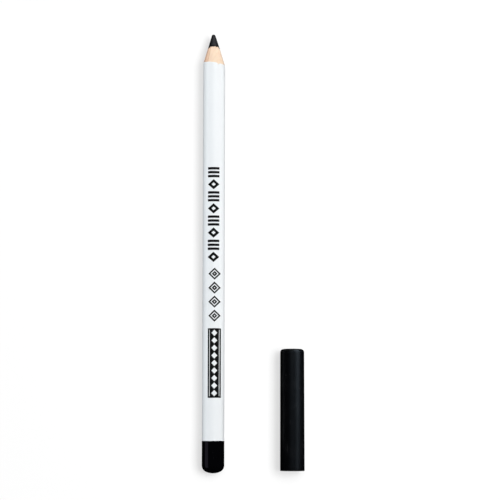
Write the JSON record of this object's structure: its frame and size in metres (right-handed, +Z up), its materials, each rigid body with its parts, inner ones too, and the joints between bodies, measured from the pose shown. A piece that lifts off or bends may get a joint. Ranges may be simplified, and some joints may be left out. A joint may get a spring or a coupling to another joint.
{
  "type": "eyeliner pencil",
  "caption": "Slim round wood-cased eyeliner pencil with a sharpened black core, white lacquer, a black dipped end and its black pull-off cap lying beside it.",
  "frame": {"origin": "on the surface that the pencil and cap lie on, under the middle of the pair's bounding box", "axes": "+Y along the pencil, towards the sharpened tip; +X from the pencil to the cap; +Z up"},
  "size_m": [0.0346, 0.1506, 0.0082],
  "materials": {
    "kohl": "soft waxy matte black",
    "wood": "bare sharpened softwood",
    "white_lacquer": "smooth satin lacquer",
    "black_dip": "high gloss dipped lacquer",
    "black_ink": "satin printed ink",
    "black_cap": "satin moulded plastic"
  },
  "bodies": {
    "root": {"kohl_core": "kohl", "slat_left": "wood", "slat_right": "wood", "lacquer_coat": "white_lacquer", "end_dip": "black_dip", "print_panel": "black_ink", "print_outlines": "black_ink", "print_marks": "black_ink", "cap": "black_cap"}
  },
  "joints": []
}
